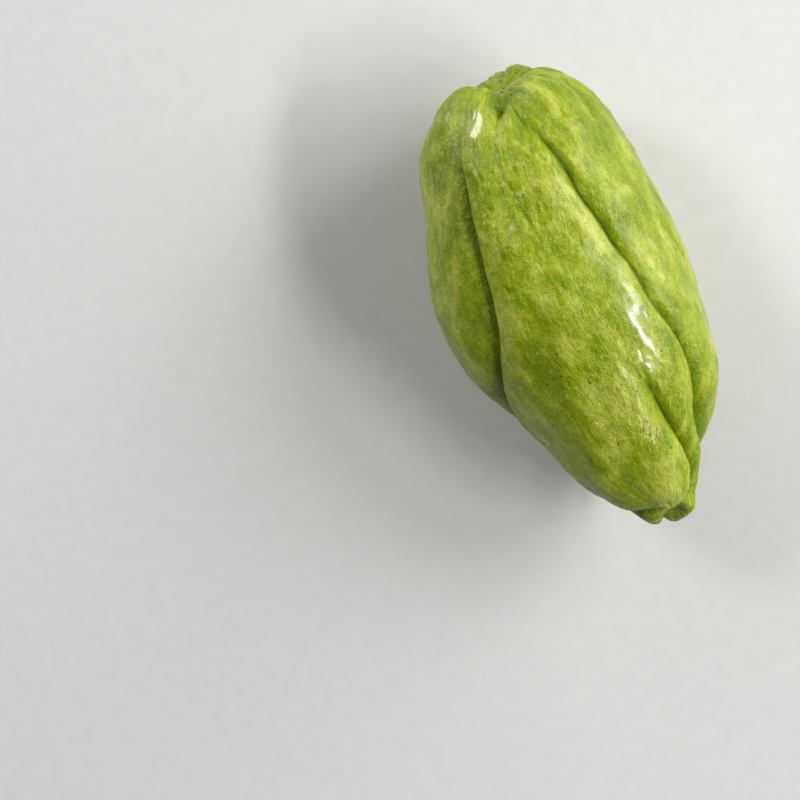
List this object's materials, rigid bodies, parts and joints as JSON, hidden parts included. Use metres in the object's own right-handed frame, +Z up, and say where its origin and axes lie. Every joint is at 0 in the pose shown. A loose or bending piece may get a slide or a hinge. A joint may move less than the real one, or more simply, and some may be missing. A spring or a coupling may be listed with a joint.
{
  "type": "chayote squash",
  "caption": "Whole pear-shaped chayote squash with deep lengthwise furrows, a blossom-end cleft and a satin light-green skin, lying on its side.",
  "frame": {"origin": "centre of the fruit's outline seen from above, on the surface that it lies on", "axes": "+Y along the fruit towards the broad blossom end, +Z up, +X to the right seen from above with the blossom end away"},
  "size_m": [0.0628, 0.1194, 0.0535],
  "materials": {
    "skin": "satin, slightly waxy vegetable skin with fine lengthwise wrinkles and pale mottling"
  },
  "bodies": {
    "root": {"chayote_fruit": "skin"}
  },
  "joints": []
}
